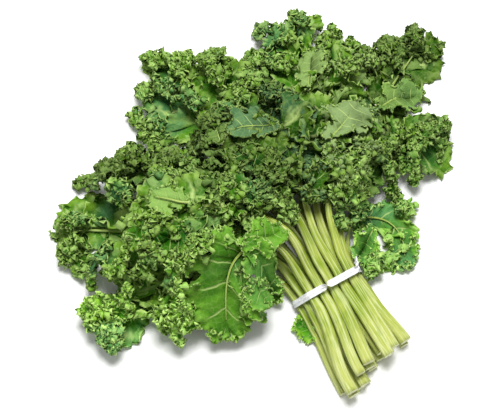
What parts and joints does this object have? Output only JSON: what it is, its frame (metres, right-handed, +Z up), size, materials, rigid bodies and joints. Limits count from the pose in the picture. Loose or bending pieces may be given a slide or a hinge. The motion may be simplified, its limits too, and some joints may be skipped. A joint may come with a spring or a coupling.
{
  "type": "kale bunch",
  "caption": "Tied bunch of curly kale lying on a table: frilly leaves fan out from long stalks that a paper twist tie holds together",
  "frame": {"origin": "on the table, under the middle of the bunch's box", "axes": "+Z up; +Y along the stalks, from the cut ends towards the leaves; +X to the right, seen from above with the cut ends nearest"},
  "size_m": [0.4924, 0.4426, 0.1057],
  "materials": {
    "kale_leaf": "waxy leaf, satin, blue-green to bright green with paler veins, margins and stalk",
    "tie_paper": "matt white paper over a thin wire"
  },
  "bodies": {
    "root": {"bottom_leaf_1": "kale_leaf", "bottom_leaf_2": "kale_leaf", "bottom_leaf_3": "kale_leaf", "bottom_leaf_4": "kale_leaf", "bottom_leaf_5": "kale_leaf", "bottom_leaf_6": "kale_leaf", "bottom_leaf_7": "kale_leaf", "middle_leaf_1": "kale_leaf", "middle_leaf_2": "kale_leaf", "middle_leaf_3": "kale_leaf", "middle_leaf_4": "kale_leaf", "middle_leaf_5": "kale_leaf", "middle_leaf_6": "kale_leaf", "top_leaf_1": "kale_leaf", "top_leaf_2": "kale_leaf", "top_leaf_3": "kale_leaf", "top_leaf_4": "kale_leaf", "top_leaf_5": "kale_leaf", "twist_tie": "tie_paper"}
  },
  "joints": []
}
